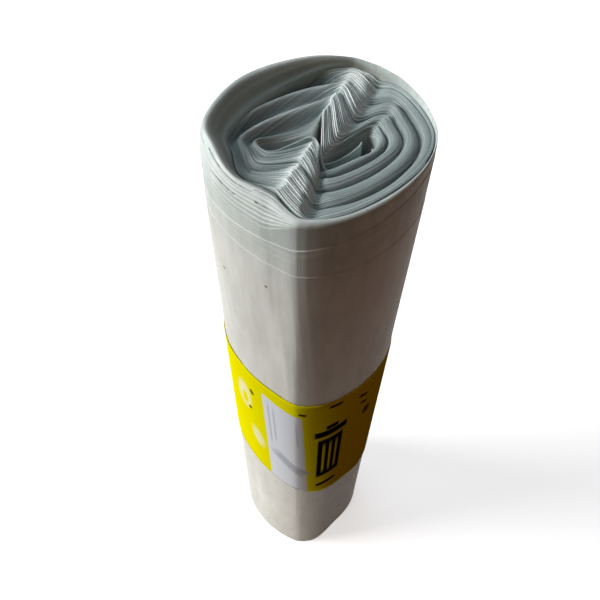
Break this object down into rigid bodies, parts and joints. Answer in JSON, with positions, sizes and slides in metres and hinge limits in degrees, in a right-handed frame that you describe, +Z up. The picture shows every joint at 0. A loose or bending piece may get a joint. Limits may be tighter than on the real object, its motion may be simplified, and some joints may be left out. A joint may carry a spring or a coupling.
{
  "type": "bin bag roll",
  "caption": "Coreless roll of thin plastic bin bags standing on end, its turns pressed into kinks round an S-shaped hollow, with a printed paper band round the waist.",
  "frame": {"origin": "on the base plane, at the middle of the part's bounding box in plan", "axes": "+Z up along the roll's winding axis, +X to the right as seen in the picture, +Y away from the camera"},
  "size_m": [0.0594, 0.0631, 0.25],
  "materials": {
    "bag_film": "milky grey-white polyethylene film with a soft satin sheen",
    "band_paper": "thin coated paper band printed in yellow, white and black"
  },
  "bodies": {
    "root": {"bag_roll": "bag_film", "label_band": "band_paper"}
  },
  "joints": []
}
